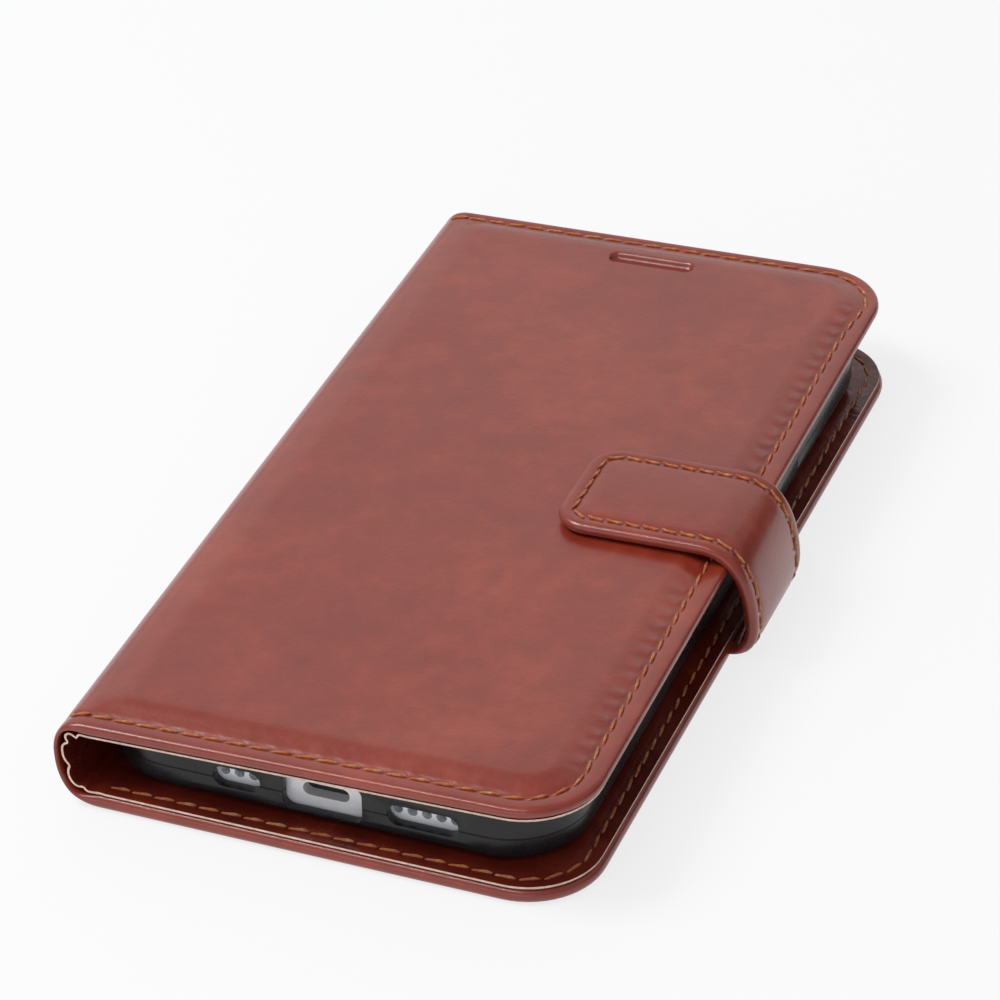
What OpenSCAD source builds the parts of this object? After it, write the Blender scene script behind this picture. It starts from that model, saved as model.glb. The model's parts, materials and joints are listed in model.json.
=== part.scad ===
// Book-style wallet case for a phone: two leather covers joined by a soft spine, a TPU tray for
// the phone, card pockets inside the front cover, and a magnetic strap that wraps over the edge.
// X runs from the spine to the free edge, Y along the spine (charging port at -Y), Z up.
// The case lies closed on its back cover, centred over the origin.

/* [Phone] */
// Length of the phone that the tray holds
phone_l = 146.7; // [120:0.1:180]
// Width of the phone
phone_w = 71.5; // [58:0.1:90]
// Thickness of the phone
phone_t = 7.65; // [6:0.05:10]
// Corner radius of the phone, seen from above
phone_corner_r = 10.5; // [8:0.1:13]
// Play between the phone and the tray, each side
phone_fit = 0.1; // [0.05:0.05:0.3]

/* [Tray] */
// Thickness of the tray's side walls
tray_wall = 1.6; // [1.3:0.1:2.2]
// Thickness of the tray's floor
tray_floor = 1; // [0.8:0.1:1.5]
// Height of the tray's rim above the phone's glass
tray_lip = 0.4; // [0.2:0.1:0.8]
// Size of the bevel round the tray's foot
tray_bevel = 1.6; // [0.8:0.1:1.9]
// Thickness of the glue film under the tray
glue_t = 0.15; // [0.1:0.05:0.3]

/* [Tray openings] */
// Side of the camera window
camera_w = 31; // [24:0.5:36]
// Distance from the phone's edges to the camera window
camera_edge = 2; // [1.5:0.1:3]
// Corner radius of the camera window
camera_r = 8; // [4:0.5:10]
// Width of the charging port opening
port_w = 12.6; // [10:0.1:14]
// Height of the charging port opening
port_h = 6.4; // [5:0.1:6.6]
// Width of the microphone opening beside the port
mic_w = 7.6; // [5:0.1:8]
// Distance from the port's centre to the microphone opening's centre
mic_offset = 13.6; // [12.5:0.1:15]
// Width of the speaker opening beside the port
speaker_w = 11.2; // [8:0.1:12]
// Distance from the port's centre to the speaker opening's centre
speaker_offset = 15.8; // [14:0.1:17]
// Height of the microphone and speaker openings
grille_h = 3.6; // [3:0.1:4.4]

/* [Side buttons] */
// Height of the openings for the side buttons
button_h = 4.2; // [3.6:0.1:5]
// Length of the power button's opening
power_l = 18; // [14:0.5:20]
// Distance from the phone's top end to the power button's centre
power_from_top = 47.5; // [42:0.5:55]
// Length of each volume button's opening
volume_l = 11; // [9:0.5:12]
// Distance from the phone's top end to the upper volume button's centre
volume_from_top = 38; // [35:0.5:42]
// Distance between the two volume buttons' centres
volume_pitch = 13.5; // [13:0.5:16]
// Length of the opening for the mute switch
mute_l = 8; // [6:0.5:9]
// Distance from the phone's top end to the mute switch's centre
mute_from_top = 26; // [24:0.5:27]
// How far a button stands proud of the tray's side
button_proud = 0.4; // [0.3:0.05:0.6]
// Gap round a button in its opening
button_gap = 0.3; // [0.2:0.05:0.4]
// Travel of a side button
button_travel = 0.4; // [0.3:0.05:0.5]

/* [Covers] */
// How far the covers stand out past the tray at each end
end_rim = 4.55; // [3.5:0.05:7]
// How far the back cover stands out past the tray at the free edge
free_rim = 4.05; // [3.5:0.05:7]
// How far the front cover's free edge stays back from the back cover's
front_setback = 0.5; // [0:0.1:1.5]
// Radius of the covers' free corners
corner_r = 12; // [9:0.5:15]
// Thickness of the outer leather
skin_t = 0.8; // [0.6:0.05:1]
// Thickness of the lining
lining_t = 0.6; // [0.5:0.05:0.8]
// How far the lining stays back from the turned edge
lining_inset = 0.6; // [0.4:0.1:1]
// Thickness of the back cover's board
back_board_t = 1.4; // [1.2:0.1:2]
// Thickness of the front cover's board
front_board_t = 1; // [0.8:0.1:1.5]
// Thickness of the foam under the front cover's leather
foam_t = 0.9; // [0.5:0.1:1.5]
// Gap between the tray's rim and the front cover, at the spine
cover_gap = 0.4; // [0.3:0.1:2]
// Angle at which the closed front cover rises towards its free edge
front_tilt = 1.8; // [0.5:0.1:4]
// Distance from the covers' outer edge to the stitching
stitch_inset = 3.2; // [2.5:0.1:4]
// Width of the thread
thread_w = 0.5; // [0.4:0.05:0.8]
// Depth of the groove that the thread lies in
thread_depth = 0.25; // [0.2:0.05:0.3]

/* [Earpiece groove] */
// Length of the pressed groove above the phone's earpiece
ear_l = 15; // [10:0.5:20]
// Width of the pressed groove
ear_w = 3.6; // [3:0.1:5]
// Depth of the pressed groove
ear_depth = 0.5; // [0.2:0.05:0.6]
// Distance from the front cover's far end to the groove's centre
ear_from_end = 9; // [8:0.1:12]

/* [Spine] */
// Radius of the rolled leather at each fold
roll_r = 1.5; // [1.3:0.05:1.6]
// How far the tray's side stands out over the lower fold
tray_over_fold = 0.55; // [0:0.05:0.7]
// How far the upper fold leans out past the lower fold
spine_lean = 2.5; // [1:0.1:3.5]
// How far the spine bows outwards between its folds
spine_bow = 1.2; // [1:0.1:2]
// Gap between a rolled fold and the end of its cover
fold_gap = 0.4; // [0.3:0.05:0.6]

/* [Pockets] */
// Thickness of a pocket's leather
pocket_t = 0.45; // [0.3:0.05:0.45]
// Length of the card pockets along the spine
card_l = 90; // [88:1:110]
// Distance from the front cover's free edge to the pockets' closed side
pocket_edge = 6; // [5.5:0.5:8]
// Width of the front-most card pocket
card_first_w = 34; // [24:1:36]
// How much wider each pocket behind it is
card_step = 10; // [8:0.5:12]
// Width of the cash pocket behind the card pockets
cash_w = 66; // [58:1:68]
// Radius of the thumb notches
thumb_r = 8; // [6:0.5:10]

/* [Strap] */
// Width of the strap
strap_w = 22; // [16:0.5:30]
// Distance of the strap's centre line from the middle of the case, along the spine
strap_y = -0.7; // [-10:0.1:10]
// Thickness of the strap's outer leather
strap_skin_t = 1; // [0.8:0.05:1.2]
// Thickness of the strap's lining
strap_lining_t = 1; // [0.8:0.05:1.2]
// Reach of the strap's tip over the front cover
strap_reach = 28.8; // [24:0.2:50]
// Corner radius of the strap's tip
strap_tip_r = 6; // [3:0.5:8]
// Gap between the strap's tip and the front cover
strap_gap = 0.3; // [0.2:0.05:0.6]
// Radius of the strap's bend over the cover's edge, at mid-thickness
elbow_r = 7; // [6.6:0.1:9]
// How far inside the front cover's free edge the strap starts to bend
elbow_start = 3.1; // [2.8:0.1:5]
// Distance from the back cover's edge to the strap's lower fold
root_out = 1.6; // [1.4:0.1:3]
// How far the side of the strap bows outwards
strap_bow = 0.9; // [0.5:0.1:1.5]
// Length of the strap's tab inside the back cover
tab_l = 12; // [8:0.5:20]
// Thickness of that tab
tab_t = 1; // [0.6:0.05:1.2]
// Length of the magnet in the strap's tip
magnet_l = 10; // [6:0.5:12]
// Width of that magnet
magnet_w = 14; // [8:0.5:14]
// Thickness of that magnet
magnet_t = 0.9; // [0.6:0.05:1]
// Thickness of the steel closure plate in the front cover
plate_t = 0.4; // [0.3:0.05:0.5]

/* [Hidden] */
$fn = 48;
hull_fn = 32;

seat = 0.05;      // clearance round a piece that sits inside another
past = 1;         // how far a cutter runs past what it cuts
leather = "#8c3f2d";
lining_red = "#5a1f1a";
thread = "#c8702a";
tpu = "#1c1c1e";

// Tray
cavity_l = phone_l + 2 * phone_fit;
cavity_w = phone_w + 2 * phone_fit;
cavity_r = phone_corner_r + phone_fit;
tray_l = cavity_l + 2 * tray_wall;
tray_w = cavity_w + 2 * tray_wall;
tray_r = cavity_r + tray_wall;
tray_in_wall = tray_w / 2 - tray_wall;

// Places measured from the spine's outer face, before the whole case is centred
fold_high_in = 1.7;    // distance from the front cover's spine end to its fold line
fold_low_x = fold_high_in + spine_lean;
tray_x = fold_low_x - tray_over_fold + tray_w / 2;
case_w = tray_x + tray_w / 2 + free_rim;
front_w = case_w - front_setback;
half_l = tray_l / 2 + end_rim;
back_start = fold_low_x + roll_r + fold_gap;
front_start = fold_high_in + roll_r + fold_gap;

// Heights
back_rim_h = skin_t + back_board_t;
back_t = back_rim_h + lining_t;
fold_low_z = roll_r + 0.1;
tray_z = back_t + glue_t;
phone_z = tray_z + tray_floor;
button_z = phone_z + phone_t / 2;
tray_top = phone_z + phone_t + tray_lip;
front_z = tray_top + cover_gap;

// Heights in the front cover, above its underside
front_under = lining_t;
front_skin_w = lining_t + front_board_t;
front_rim_h = front_skin_w + skin_t;
front_crown_h = front_rim_h + foam_t;
fold_high_w = front_crown_h - roll_r;

// A point of the tilted front cover, as [x, z]
function on_front_at(u, w) =
    [u * cos(front_tilt) - w * sin(front_tilt), front_z + u * sin(front_tilt) + w * cos(front_tilt)];
fold_low = [fold_low_x, fold_low_z];
fold_high = on_front_at(fold_high_in, fold_high_w);

// Strap
strap_t = strap_skin_t + strap_lining_t;
strap_y0 = strap_y - strap_w / 2;
strap_y1 = strap_y + strap_w / 2;
strap_tip_w = front_crown_h + strap_gap;
elbow_u = front_w - elbow_start;
strap_tip_u = front_w - strap_reach;
elbow_centre = [elbow_u, strap_tip_w + strap_lining_t - elbow_r];
elbow_end = 20;        // angle at which the bend ends at the upper strap fold
strap_roll_r = 1;
root = [case_w + root_out, strap_roll_r + 1.2];
elbow = on_front_at(elbow_centre[0] + elbow_r * cos(elbow_end), elbow_centre[1] + elbow_r * sin(elbow_end));
tab_z = back_rim_h - tab_t;
tab_end = root[0] - strap_roll_r - fold_gap;
fold_trim = strap_roll_r + 0.3;

// Pockets
card_pockets = 3;
pocket_u1 = front_w - pocket_edge;
groove_slack = 0.03;   // clearance of a thread in its groove
thread_rise = 0.05;    // how far the thread stands out of its groove

// Centre of the closed case, which becomes X = 0
strap_out = max(bow_centre(elbow, root, strap_bow)[0] + bow_r(elbow, root, strap_bow),
                on_front_at(elbow_centre[0] + elbow_r, elbow_centre[1])[0]) + strap_skin_t;
origin_x = (fold_high[0] - roll_r + strap_out) / 2;

// ---- Arc through two points, bowing to the left of p -> q by s ----
function bow_r(p, q, s) = (norm(q - p) ^ 2 / 4 + s * s) / (2 * s);
function left_of(p, q) = [p[1] - q[1], q[0] - p[0]] / norm(q - p);
function bow_centre(p, q, s) = (p + q) / 2 + left_of(p, q) * (s - bow_r(p, q, s));
function angle_to(c, p) = atan2(p[1] - c[1], p[0] - c[0]);
// The angle to p that is within half a turn of the angle ref
function near_angle(c, p, ref) =
    let (a = angle_to(c, p)) a - ref > 180 ? a - 360 : a - ref < -180 ? a + 360 : a;

// Part of a flat ring about c, from angle a0 up to a1 (less than half a turn)
module ring_part(c, r_in, r_out, a0, a1) {
    reach = 2 * r_out;
    mid = (a0 + a1) / 2;
    intersection() {
        translate(c) difference() {
            circle(r_out, $fn = 96);
            circle(r_in, $fn = 96);
        }
        polygon([c, for (a = [a0, mid, a1]) c + reach * [cos(a), sin(a)]]);
    }
}

// Strip that follows the bowed arc p -> q, from t_in inside it to t_out outside it,
// cut back by trim along the arc at both ends
module bowed_strip(p, q, s, t_in, t_out, trim) {
    c = bow_centre(p, q, s);
    r = bow_r(p, q, s);
    ap = angle_to(c, p);
    aq = near_angle(c, q, ap);
    cut = trim / r * 180 / PI;
    ring_part(c, r - t_in, r + t_out, min(ap, aq) + cut, max(ap, aq) - cut);
}

// Extrudes an X-Z outline from y0 to y1
module along_y(y0, y1) {
    translate([0, y1, 0]) rotate([90, 0, 0]) linear_extrude(y1 - y0) children();
}

// Puts a piece that was drawn flat into the front cover's tilted place
module on_front() {
    translate([0, 0, front_z]) rotate([0, -front_tilt, 0]) children();
}

module centred() {
    translate([-origin_x, 0, 0]) children();
}

// ---- Outlines ----
module round_rect(w, l, r) {
    square([w - 2 * r, l], center = true);
    square([w, l - 2 * r], center = true);
    for (x = [-1, 1], y = [-1, 1]) translate([x * (w / 2 - r), y * (l / 2 - r)]) circle(r);
}

module pill(l, h) {
    square([l - h, h], center = true);
    for (x = [-1, 1]) translate([x * (l - h) / 2, 0]) circle(h / 2);
}

// Cover outline from x0 to x1 with two round corners at x1, set in from the edge
module cover_shape(x0, x1, inset) {
    r = corner_r - inset;
    w = half_l - inset;
    translate([x0, -w]) square([x1 - inset - r - x0, 2 * w]);
    translate([x0, -w + r]) square([x1 - inset - x0, 2 * (w - r)]);
    for (y = [-1, 1]) translate([x1 - inset - r, y * (w - r)]) circle(r);
}

module cover_plate(x0, x1, inset, z0, z1) {
    translate([0, 0, z0]) linear_extrude(z1 - z0) cover_shape(x0, x1, inset);
}

// Line of thread round the three free sides of a cover
module thread_line(x0, x1, slack) {
    difference() {
        cover_shape(x0, x1, stitch_inset - thread_w / 2 - slack);
        cover_shape(x0 - past, x1, stitch_inset + thread_w / 2 + slack);
    }
}

module camera_cut() {
    x = tray_x + phone_w / 2 - camera_edge - camera_w / 2;
    y = phone_l / 2 - camera_edge - camera_w / 2;
    translate([x, y, -past]) linear_extrude(tray_top) round_rect(camera_w, camera_w, camera_r);
}

// ---- Back cover ----
module back_outer_skin() {
    color(leather) centred() difference() {
        cover_plate(back_start, case_w, 0, 0, back_rim_h);
        cover_plate(back_start - past, case_w, skin_t, skin_t, back_rim_h + past);
        camera_cut();
        tab_space(seat);
        translate([0, 0, -past]) linear_extrude(past + thread_depth)
            thread_line(back_start - past, case_w, groove_slack);
    }
}

module back_board() {
    color("#6f6257") centred() difference() {
        cover_plate(back_start, case_w, skin_t + seat, skin_t, back_rim_h);
        camera_cut();
        tab_space(seat);
    }
}

module back_lining() {
    color(lining_red) centred() difference() {
        cover_plate(back_start, case_w, lining_inset, back_rim_h, back_t);
        camera_cut();
        translate([0, 0, back_t - thread_depth]) linear_extrude(past)
            thread_line(back_start - past, case_w, groove_slack);
    }
}

// Thread on the lining's side, and on the outside, where it lies below the leather's face
module back_stitching() {
    color(thread) centred() {
        translate([0, 0, back_t - thread_depth]) linear_extrude(thread_depth + thread_rise)
            thread_line(back_start, case_w, 0);
        translate([0, 0, thread_rise]) linear_extrude(thread_depth - thread_rise)
            thread_line(back_start, case_w, 0);
    }
}

// Space of the strap's tab between board and lining, with clearance c
module tab_space(c) {
    translate([case_w - tab_l - c, strap_y0 - c, tab_z - c])
        cube([tab_end - case_w + tab_l + past, strap_w + 2 * c, tab_t + c + past]);
}

module strap_root_tab() {
    color(leather) centred() translate([case_w - tab_l, strap_y0, tab_z])
        cube([tab_end - case_w + tab_l, strap_w, tab_t]);
}

// Glue film, kept clear of the camera window
module shell_adhesive() {
    l = phone_l - camera_w - 4 * camera_edge - phone_corner_r;
    color("#b9b2a6") centred() translate([tray_x, -camera_w / 2 - camera_edge, back_t])
        linear_extrude(glue_t) square([phone_w - 2 * phone_corner_r, l], center = true);
}

// ---- Phone tray ----
module tray_body() {
    translate([tray_x, 0, tray_z]) {
        hull() {
            linear_extrude(0.1) round_rect(tray_w - 2 * tray_bevel, tray_l - 2 * tray_bevel,
                                           tray_r - tray_bevel, $fn = hull_fn);
            translate([0, 0, tray_bevel]) linear_extrude(0.1)
                round_rect(tray_w, tray_l, tray_r, $fn = hull_fn);
        }
        translate([0, 0, tray_bevel]) linear_extrude(tray_top - tray_z - tray_bevel)
            round_rect(tray_w, tray_l, tray_r, $fn = hull_fn);
    }
}

// Openings of the charging port, microphone and speaker through the tray's near end
module end_openings() {
    translate([tray_x, -cavity_l / 2 + past, button_z]) rotate([90, 0, 0])
        linear_extrude(tray_wall + 2 * past) {
            round_rect(port_w, port_h, 1.5);
            translate([-mic_offset, 0]) pill(mic_w, grille_h);
            translate([speaker_offset, 0]) pill(speaker_w, grille_h);
        }
}

// Pill-shaped opening through one side wall; side is 1 at the free edge and -1 at the spine
module side_opening(side, from_top, l) {
    translate([tray_x + side * (cavity_w / 2 - past), phone_l / 2 - from_top, button_z])
        rotate([90, 0, side * 90]) linear_extrude(tray_wall + 2 * past) pill(l, button_h);
}

module phone_shell() {
    color(tpu) centred() difference() {
        tray_body();
        translate([tray_x, 0, phone_z]) linear_extrude(tray_top) round_rect(cavity_w, cavity_l, cavity_r);
        camera_cut();
        end_openings();
        side_opening(1, power_from_top, power_l);
        side_opening(-1, volume_from_top, volume_l);
        side_opening(-1, volume_from_top + volume_pitch, volume_l);
        side_opening(-1, mute_from_top, mute_l);
    }
}

// Button pad in its opening, proud outside and set back inside by its travel
module side_button(side, from_top, l) {
    inner = cavity_w / 2 + button_travel + 0.05;
    outer = tray_w / 2 + button_proud;
    color(tpu) centred() translate([tray_x + side * inner, phone_l / 2 - from_top, button_z])
        rotate([90, 0, side * 90]) linear_extrude(outer - inner)
            pill(l - 2 * button_gap, button_h - 2 * button_gap);
}

module power_button() { side_button(1, power_from_top, power_l); }
module volume_up_button() { side_button(-1, volume_from_top, volume_l); }
module volume_down_button() { side_button(-1, volume_from_top + volume_pitch, volume_l); }

// ---- Spine ----
spine_half = (skin_t + lining_t) / 2;

module spine_skin() {
    color(leather) centred() along_y(-half_l, half_l) {
        translate(fold_low) circle(roll_r);
        translate(fold_high) circle(roll_r);
        bowed_strip(fold_low, fold_high, spine_bow, skin_t - spine_half, spine_half, roll_r / 2);
    }
}

module spine_lining() {
    y = half_l - lining_inset;
    color(lining_red) centred() along_y(-y, y)
        bowed_strip(fold_low, fold_high, spine_bow, spine_half, spine_half - skin_t - seat, roll_r + 0.2);
}

// ---- Front cover, drawn flat with its underside at Z = 0 ----
module front_outer_skin() {
    pad = stitch_inset + 0.9;
    color(leather) centred() on_front() difference() {
        union() {
            cover_plate(front_start, front_w, 0, front_under, front_rim_h - 0.6);
            hull() {
                cover_plate(front_start, front_w, 0, front_rim_h - 0.9, front_rim_h - 0.7, $fn = hull_fn);
                cover_plate(front_start, front_w, 0.7, front_rim_h - 0.1, front_rim_h, $fn = hull_fn);
            }
            hull() {
                cover_plate(front_start, front_w, pad, front_rim_h - 0.1, front_rim_h, $fn = hull_fn);
                cover_plate(front_start, front_w, pad + 1.4, front_crown_h - 0.1, front_crown_h,
                            $fn = hull_fn);
            }
        }
        cover_plate(front_start - past, front_w, skin_t, -past, front_skin_w);
        cover_plate(front_start - past, front_w, pad + 1.4, 0, front_skin_w + foam_t);
        ear_groove();
        translate([0, 0, front_rim_h - thread_depth]) linear_extrude(past)
            thread_line(front_start - past, front_w, groove_slack);
    }
}

module ear_groove() {
    translate([tray_x, half_l - ear_from_end, front_crown_h - ear_depth])
        linear_extrude(past) pill(ear_l, ear_w);
}

module front_padding() {
    color("#d9d2c4") centred() on_front() difference() {
        cover_plate(front_start, front_w, stitch_inset + 2.3 + seat, front_skin_w, front_skin_w + foam_t);
        plate_space(seat);
    }
}

module front_board() {
    color("#6f6257") centred() on_front()
        cover_plate(front_start, front_w, skin_t + seat, front_under, front_skin_w);
}

module front_lining() {
    color(lining_red) centred() on_front()
        cover_plate(front_start, front_w, lining_inset, 0, lining_t);
}

module front_stitching() {
    color(thread) centred() on_front()
        translate([0, 0, front_rim_h - thread_depth]) linear_extrude(thread_depth + thread_rise)
            thread_line(front_start, front_w, 0);
}

// Steel plate in the foam, under the magnet in the strap's tip
module plate_space(c) {
    translate([strap_tip_u + strap_tip_r - c, strap_y - magnet_w / 2 - c, front_skin_w])
        cube([magnet_l + 2 * c, magnet_w + 2 * c, plate_t + (c > 0 ? foam_t : 0)]);
}

module closure_plate() {
    color("silver") centred() on_front() plate_space(0);
}

// Sheet number i under the lining, from u0 to the pockets' closed side, with a thumb notch
module pocket_sheet(i, u0, l, notch_r) {
    translate([0, 0, -i * pocket_t]) linear_extrude(pocket_t) difference() {
        translate([u0, -l / 2]) square([pocket_u1 - u0, l]);
        translate([u0, 0]) circle(notch_r);
    }
}

function card_u0(i) = pocket_u1 - card_first_w - (card_pockets - i) * card_step;

module card_pocket(i) {
    color(lining_red) centred() on_front() pocket_sheet(i + 1, card_u0(i), card_l, thumb_r);
}

module cash_pocket() {
    color(lining_red) centred() on_front()
        pocket_sheet(1, pocket_u1 - cash_w, 2 * half_l - 2 * end_rim - 4 * phone_fit - 6, thumb_r);
}

module card_pocket_1() { card_pocket(1); }
module card_pocket_2() { card_pocket(2); }
module card_pocket_3() { card_pocket(3); }

// Rows of thread along the ends of each card pocket, on the part that shows
module pocket_stitching() {
    color(thread) centred() on_front() for (i = [1 : card_pockets], y = [-1, 1]) {
        u0 = card_u0(i);
        u1 = i < card_pockets ? card_u0(i + 1) - seat : pocket_u1;
        translate([u0, y * (card_l / 2 - 1.2) - thread_w / 2, -(i + 1) * pocket_t - 0.08])
            cube([u1 - u0, thread_w, 0.08]);
    }
}

// ---- Strap ----
// Bend over the cover's edge, between two distances from the bend's centre, in the cover's frame
module elbow_strip(r_in, r_out) {
    trim = fold_trim / elbow_r * 180 / PI;
    ring_part(elbow_centre, r_in, r_out, elbow_end + trim, 90);
}

// Tip outline, from the bend to the rounded end, set in from its edges
module tip_shape(inset) {
    r = strap_tip_r - inset;
    w = strap_w - 2 * inset;
    l = elbow_u - strap_tip_u - inset;
    translate([elbow_u - l + r, strap_y - w / 2]) square([l - r, w]);
    translate([elbow_u - l, strap_y - w / 2 + r]) square([l, w - 2 * r]);
    for (y = [-1, 1]) translate([elbow_u - l + r, strap_y + y * (w / 2 - r)]) circle(r);
}

// One layer of the tip and bend, from a to b above the strap's underside
module tip_layer(a, b) {
    r0 = elbow_r - strap_lining_t;
    translate([0, 0, strap_tip_w + a]) linear_extrude(b - a) tip_shape(0);
    along_y(strap_y0, strap_y1) elbow_strip(r0 + a, r0 + b);
}

// Two lines of thread that run with an X-Z strip, near the strap's edges
module edge_threads(slack) {
    for (y = [-1, 1]) {
        y0 = strap_y + y * (strap_w / 2 - stitch_inset + 0.7);
        along_y(y0 - thread_w / 2 - slack, y0 + thread_w / 2 + slack) children();
    }
}

module tip_thread(slack, low, high) {
    inset = stitch_inset - 0.7;
    translate([0, 0, strap_tip_w + low]) linear_extrude(high - low) difference() {
        tip_shape(inset - thread_w / 2 - slack);
        translate([slack, 0]) tip_shape(inset + thread_w / 2 + slack);
        translate([elbow_u - seat, strap_y - strap_w / 2 + inset + thread_w / 2 + slack])
            square([past, strap_w - 2 * inset - thread_w - 2 * slack]);
    }
    edge_threads(slack) elbow_strip(elbow_r - strap_lining_t + low, elbow_r - strap_lining_t + high);
}

// Pocket for the magnet between the strap's two layers, with clearance c
module magnet_space(c) {
    translate([strap_tip_u + strap_tip_r - c, strap_y - magnet_w / 2 - c,
               strap_tip_w + strap_lining_t - magnet_t / 2 - c])
        cube([magnet_l + 2 * c, magnet_w + 2 * c, magnet_t + 2 * c]);
}

module strap_tip_skin() {
    color(leather) centred() on_front() difference() {
        tip_layer(strap_lining_t, strap_t);
        magnet_space(seat);
        tip_thread(groove_slack, strap_t - thread_depth, strap_t + past);
    }
}

module strap_tip_lining() {
    color(lining_red) centred() on_front() difference() {
        tip_layer(0, strap_lining_t);
        magnet_space(seat);
    }
}

module strap_tip_stitching() {
    color(thread) centred() on_front() tip_thread(0, strap_t - thread_depth, strap_t + thread_rise);
}

module strap_magnet() {
    color("silver") centred() on_front() magnet_space(0);
}

module strap_side_skin() {
    color(leather) centred() difference() {
        along_y(strap_y0, strap_y1) {
            translate(root) circle(strap_roll_r);
            translate(elbow) circle(strap_roll_r);
            bowed_strip(elbow, root, strap_bow, 0, strap_skin_t, 0);
        }
        edge_threads(groove_slack)
            bowed_strip(elbow, root, strap_bow, thread_depth - strap_skin_t, strap_skin_t + past, fold_trim);
    }
}

module strap_side_lining() {
    color(lining_red) centred() along_y(strap_y0, strap_y1)
        bowed_strip(elbow, root, strap_bow, strap_lining_t, -seat, strap_roll_r + 0.1);
}

module strap_side_stitching() {
    color(thread) centred() edge_threads(0)
        bowed_strip(elbow, root, strap_bow, thread_depth - strap_skin_t,
                    strap_skin_t + thread_rise, fold_trim + seat);
}

back_outer_skin();
back_board();
back_lining();
back_stitching();
strap_root_tab();
shell_adhesive();
phone_shell();
power_button();
volume_up_button();
volume_down_button();
spine_skin();
spine_lining();
front_outer_skin();
front_padding();
front_board();
front_lining();
front_stitching();
closure_plate();
cash_pocket();
card_pocket_1();
card_pocket_2();
card_pocket_3();
pocket_stitching();
strap_side_skin();
strap_side_lining();
strap_side_stitching();
strap_tip_skin();
strap_tip_lining();
strap_tip_stitching();
strap_magnet();
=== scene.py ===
import json
import math
import bpy
from mathutils import Matrix, Vector, noise
from mathutils.geometry import interpolate_bezier

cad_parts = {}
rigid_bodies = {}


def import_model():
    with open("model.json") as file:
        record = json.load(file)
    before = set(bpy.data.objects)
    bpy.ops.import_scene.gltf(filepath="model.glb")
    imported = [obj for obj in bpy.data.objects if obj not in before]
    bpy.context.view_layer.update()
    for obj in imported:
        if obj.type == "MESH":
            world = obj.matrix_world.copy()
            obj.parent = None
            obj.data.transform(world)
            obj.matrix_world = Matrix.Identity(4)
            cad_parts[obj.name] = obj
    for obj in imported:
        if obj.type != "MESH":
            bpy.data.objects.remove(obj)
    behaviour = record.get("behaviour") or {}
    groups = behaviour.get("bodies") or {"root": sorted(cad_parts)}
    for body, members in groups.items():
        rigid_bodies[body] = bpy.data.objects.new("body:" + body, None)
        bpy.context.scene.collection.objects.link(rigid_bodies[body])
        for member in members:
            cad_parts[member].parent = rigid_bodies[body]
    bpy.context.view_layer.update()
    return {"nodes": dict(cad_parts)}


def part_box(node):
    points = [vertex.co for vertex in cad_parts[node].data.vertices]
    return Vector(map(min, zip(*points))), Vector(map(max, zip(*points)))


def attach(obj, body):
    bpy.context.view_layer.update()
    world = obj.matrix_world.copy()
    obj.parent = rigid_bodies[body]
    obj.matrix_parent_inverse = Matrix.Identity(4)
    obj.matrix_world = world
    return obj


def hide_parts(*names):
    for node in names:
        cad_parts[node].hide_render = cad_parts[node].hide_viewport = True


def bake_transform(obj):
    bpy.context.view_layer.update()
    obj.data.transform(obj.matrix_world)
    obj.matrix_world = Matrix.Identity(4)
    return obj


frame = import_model()
print("frame loaded")

mm = 0.001
bpy.context.scene.view_settings.view_transform = "Standard"

# Leather is drawn flat in millimetres, X measured from the spine's outer face, and then folded into place
case = {
    "backWidth": 82.6,      # spine face to the back cover's free edge
    "frontWidth": 82.1,
    "halfLength": 79.6,
    "cornerRadius": 12,
    "tilt": math.radians(1.8),      # the closed front cover rises towards its free edge
    "frontBase": 12.4,      # height of the front cover's underside at the spine
    "nearSplay": 0.5,       # the front cover's free edge stands out a little at the near end
    "farSplay": -0.75,      # and stays back at the far end
    "skin": 0.35,           # thickness of the outer leather
}
originX = case["backWidth"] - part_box("back_outer_skin")[1].x / mm


def onFrontPlane(along, height):
    # a point of the tilted front cover, as X and Z
    c, s = math.cos(case["tilt"]), math.sin(case["tilt"])
    return Vector((along * c - height * s, case["frontBase"] + along * s + height * c))


def smooth(low, high, value):
    t = min(1, max(0, (value - low) / (high - low)))
    return t * t * (3 - 2 * t)


# a fold line is a curve in X and Z that a flat sheet is bent along
def makeFold(start, startHandle, endHandle, end, side, samples=40):
    # side is 1 where the good face is on the left of the direction of travel, else -1
    points = interpolate_bezier(start, startHandle, endHandle, end, samples)
    points = [Vector((p[0], p[1])) for p in points]
    lengths = [0]
    for a, b in zip(points, points[1:]):
        lengths.append(lengths[-1] + (b - a).length)
    flatRun = 200       # straight on from the end of the curve
    points.append(points[-1] + (end - endHandle).normalized() * flatRun)
    lengths.append(lengths[-1] + flatRun)
    return {"points": points, "lengths": lengths, "total": lengths[-2], "side": side}


def foldAt(fold, along):
    # the place on the fold line and the direction out of the good face
    points, lengths = fold["points"], fold["lengths"]
    i = 0
    while i < len(points) - 2 and lengths[i + 1] < along:
        i += 1
    share = (along - lengths[i]) / (lengths[i + 1] - lengths[i])
    place = points[i].lerp(points[i + 1], share)
    before = (points[i] - points[max(i - 1, 0)]) if i else points[1] - points[0]
    here = points[i + 1] - points[i]
    after = (points[i + 2] - points[i + 1]) if i < len(points) - 2 else here
    share = min(1, max(0, share))
    if i == len(points) - 2:
        travel = here.normalized()
    elif share < 0.5:
        travel = before.normalized().lerp(here.normalized(), 0.5 + share).normalized()
    else:
        travel = here.normalized().lerp(after.normalized(), share - 0.5).normalized()
    out = Vector((-travel.y, travel.x)) * fold["side"]
    return place, out


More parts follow.
